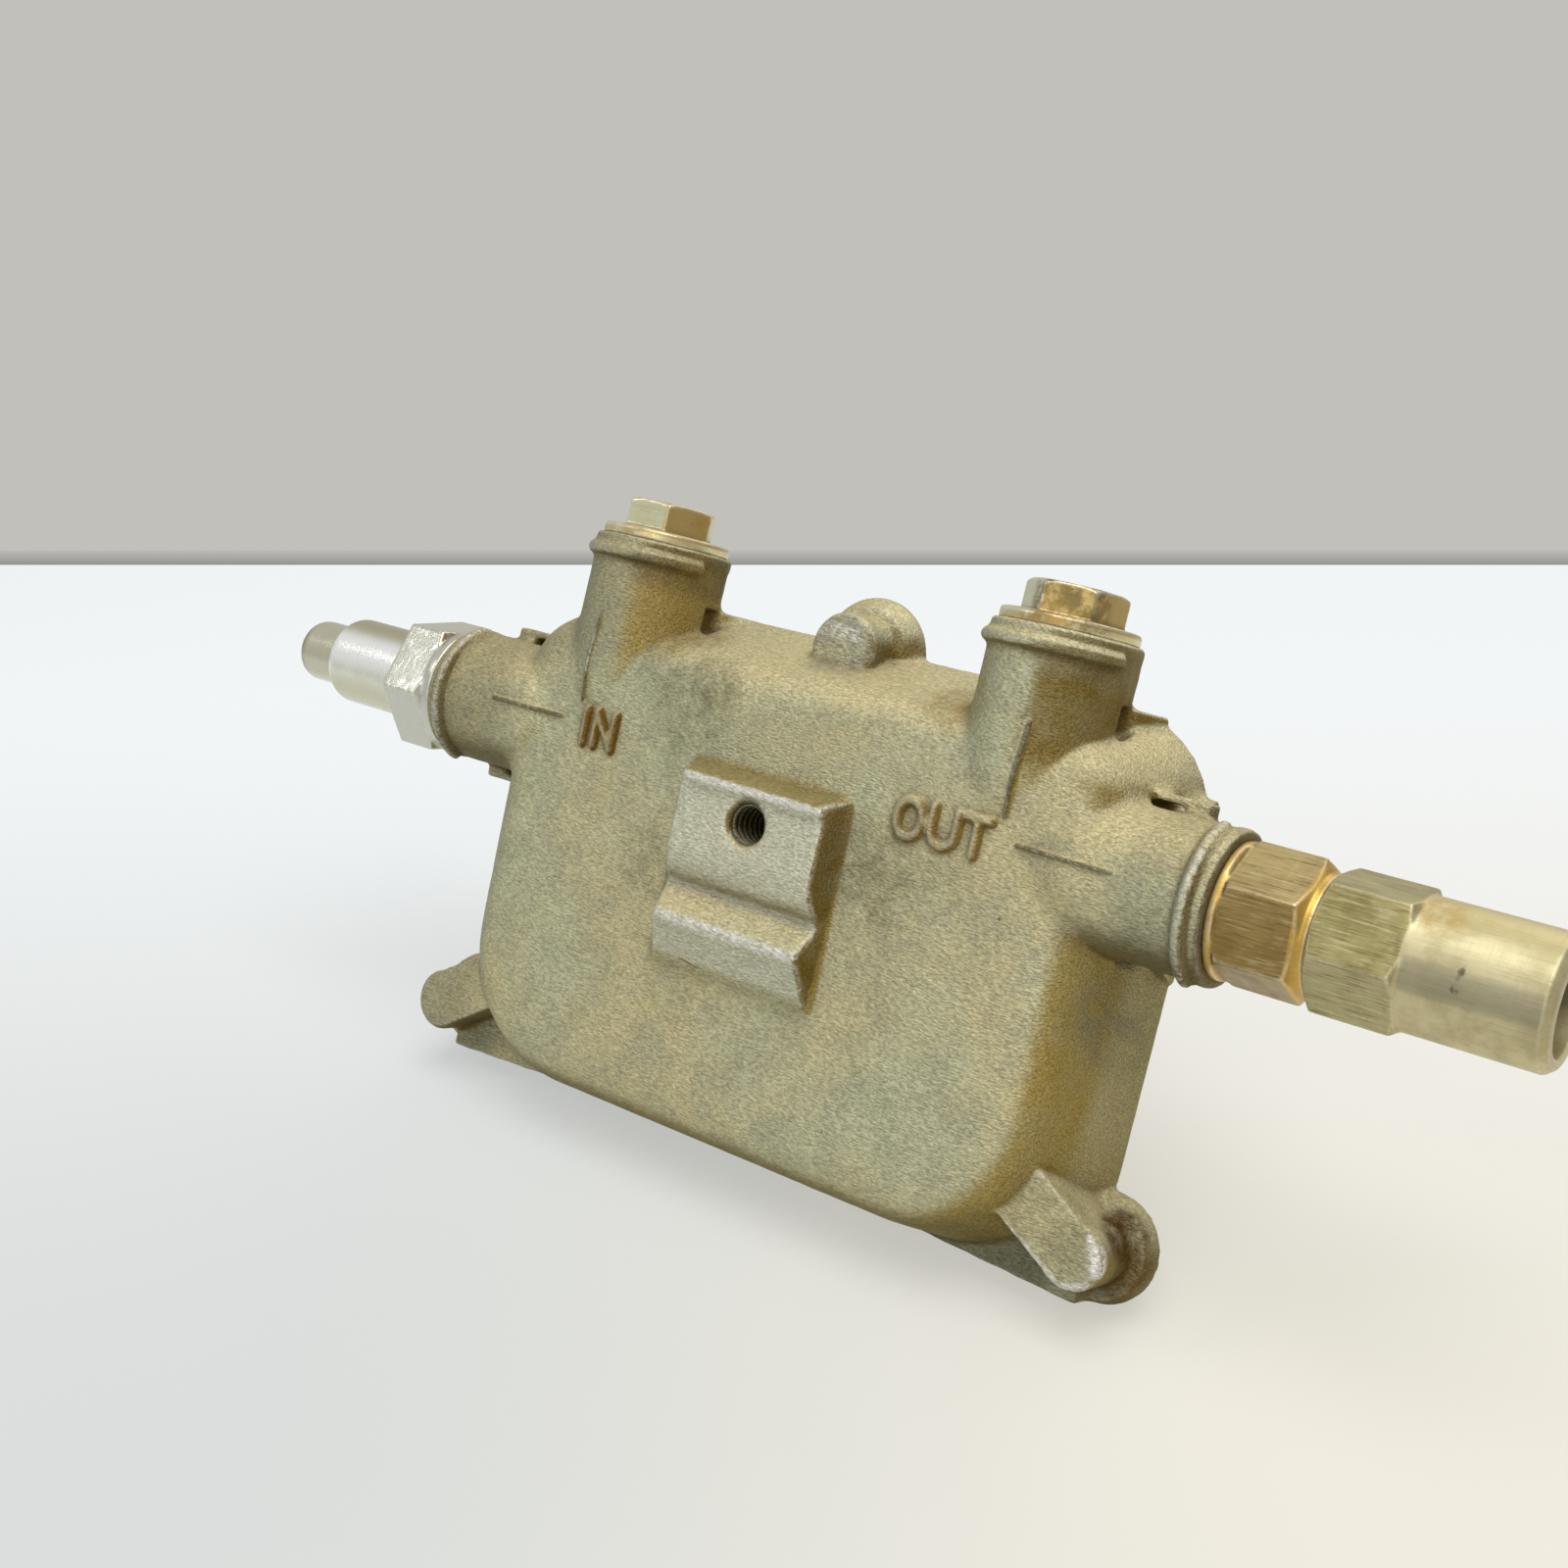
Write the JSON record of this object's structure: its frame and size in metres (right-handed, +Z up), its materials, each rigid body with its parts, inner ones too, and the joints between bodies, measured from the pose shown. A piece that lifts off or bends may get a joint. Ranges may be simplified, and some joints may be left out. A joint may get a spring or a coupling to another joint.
{
  "type": "rf tapper",
  "caption": "Outdoor coaxial line tap in a cast housing with threaded line ports, entry plugs, a cable connector, a terminator, and a bolted cover with screw-on subscriber ports.",
  "frame": {"origin": "on the axis of the strand clamp's threaded hole, where it crosses the plane of the housing's flat outer face, 4.8 mm below the face of the clamp pad", "axes": "+X along the line from the input port to the output port, +Y out of the cover's subscriber ports, +Z up, out of the plugged ports; the strand side faces -Y"},
  "size_m": [0.2432, 0.0626, 0.1056],
  "materials": {
    "cast_housing": "sand-cast aluminium with a yellow-green chromate film",
    "seal_rubber": "matt",
    "wire_mesh": "knitted wire",
    "bolt_steel": "stainless",
    "gold_chromate": "turned, with a yellow chromate film",
    "olive_chromate": "turned, with a darker chromate film",
    "pale_aluminium": "turned, worn",
    "white_insulator": "moulded",
    "brass": "turned",
    "tin_plate": "satin plating",
    "board": "solder mask",
    "ferrite": "sintered",
    "enamelled_wire": "varnished copper",
    "ceramic": "dipped"
  },
  "bodies": {
    "root": {"back_housing": "cast_housing", "face_plate": "cast_housing", "weather_gasket": "seal_rubber", "rf_gasket": "wire_mesh", "plate_bolts": "bolt_steel", "port_plug_left": "gold_chromate", "port_plug_right": "gold_chromate", "plug_seal_left": "seal_rubber", "plug_seal_right": "seal_rubber", "seizure_base_left": "white_insulator", "seizure_base_right": "white_insulator", "seizure_post_left": "brass", "seizure_post_right": "brass", "seizure_screw_left": "bolt_steel", "seizure_screw_right": "bolt_steel", "circuit_board": "board", "board_screws": "bolt_steel", "board_pin_in": "tin_plate", "board_pin_out": "tin_plate", "coupler_core": "ferrite", "splitter_core_1": "ferrite", "splitter_core_2": "ferrite", "splitter_core_3": "ferrite", "power_choke": "enamelled_wire", "disc_capacitors": "ceramic", "balance_resistors": "ceramic", "tap_port_1": "tin_plate", "tap_port_2": "tin_plate", "tap_port_3": "tin_plate", "tap_port_4": "tin_plate", "tap_insulator_1": "white_insulator", "tap_insulator_2": "white_insulator", "tap_insulator_3": "white_insulator", "tap_insulator_4": "white_insulator", "tap_contact_1": "brass", "tap_contact_2": "brass", "tap_contact_3": "brass", "tap_contact_4": "brass", "connector_body": "gold_chromate", "connector_nut": "olive_chromate", "connector_seal": "seal_rubber", "connector_pin": "brass", "front_insulator": "white_insulator", "rear_insulator": "white_insulator", "cable_sleeve": "tin_plate", "clamp_ring": "brass", "cable_seal": "seal_rubber", "terminator_body": "pale_aluminium", "terminator_cap": "pale_aluminium", "terminator_seal": "seal_rubber", "terminator_pin": "brass", "terminator_insulator": "white_insulator", "terminator_resistor": "ceramic"}
  },
  "joints": []
}
